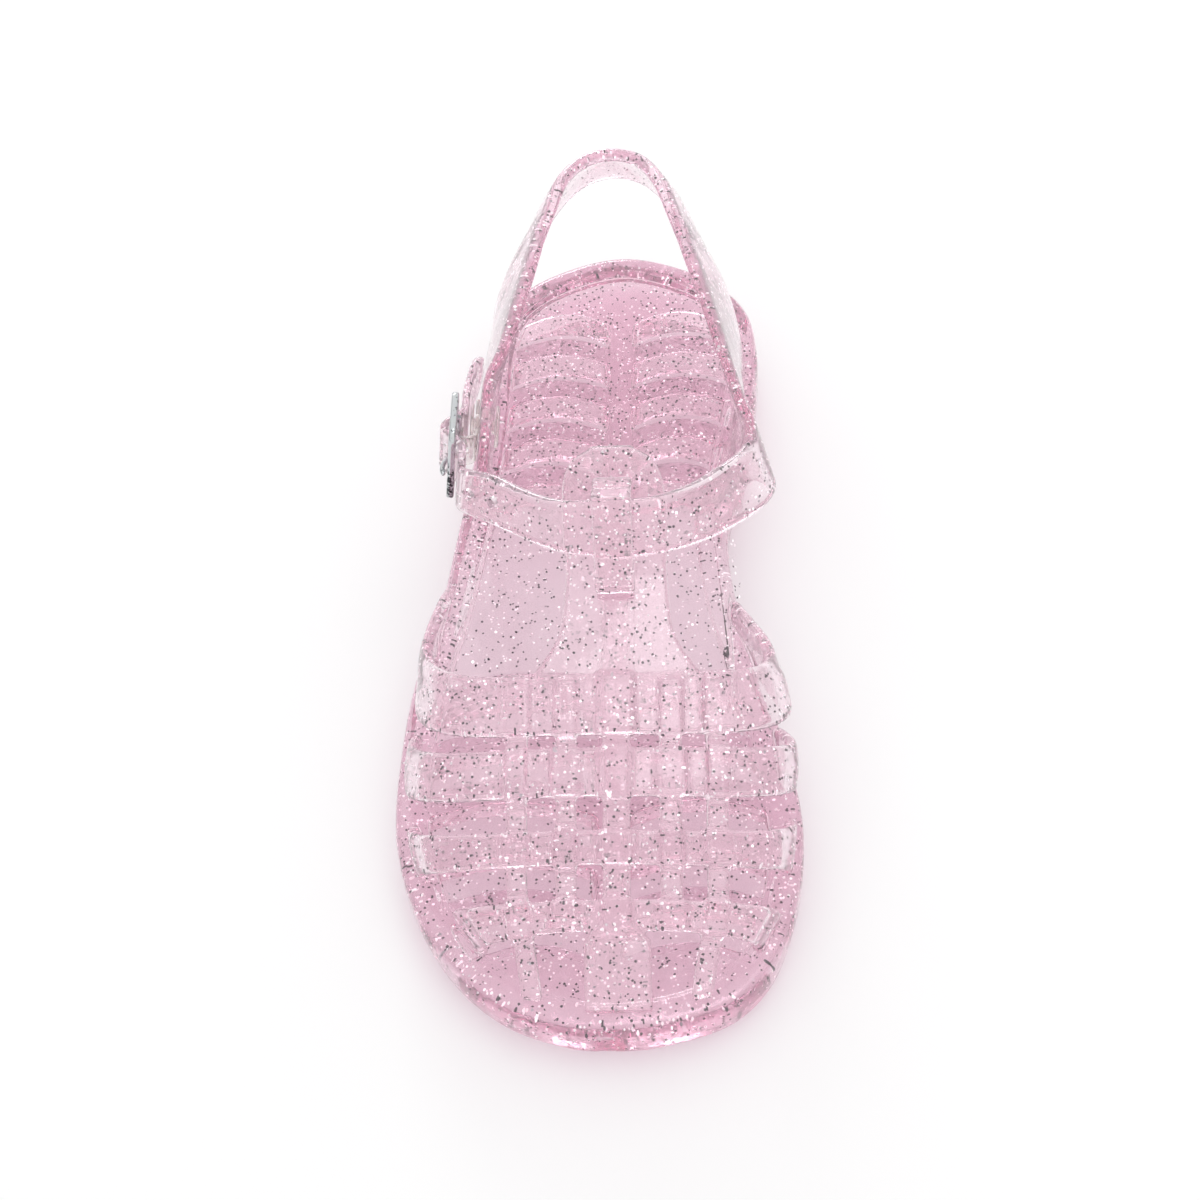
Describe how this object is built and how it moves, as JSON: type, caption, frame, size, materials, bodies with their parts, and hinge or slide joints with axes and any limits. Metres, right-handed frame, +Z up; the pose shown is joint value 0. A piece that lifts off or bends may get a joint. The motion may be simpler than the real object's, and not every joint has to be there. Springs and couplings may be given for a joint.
{
  "type": "jelly sandal",
  "caption": "Child's translucent glitter jelly sandal for the right foot, with a woven closed toe cage, T-bar, heel strap and a side buckle.",
  "frame": {"origin": "middle of the box's bottom face, on the floor under the waist of the sole", "axes": "+Y towards the heel, -Y towards the toe, +X towards the inner side of the foot, +Z up"},
  "size_m": [0.0648, 0.16, 0.0522],
  "materials": {
    "glitter_pvc": "glossy translucent pale pink vinyl with silver glitter flakes in it",
    "chrome": "polished plated buckle metal",
    "clear_pvc": "glossy clear colourless vinyl"
  },
  "bodies": {
    "root": {"sole": "glitter_pvc", "upper": "glitter_pvc", "heel_strap": "glitter_pvc", "buckle_frame": "chrome", "buckle_prong": "chrome", "buckle_tab": "clear_pvc", "rivet": "clear_pvc"}
  },
  "joints": []
}
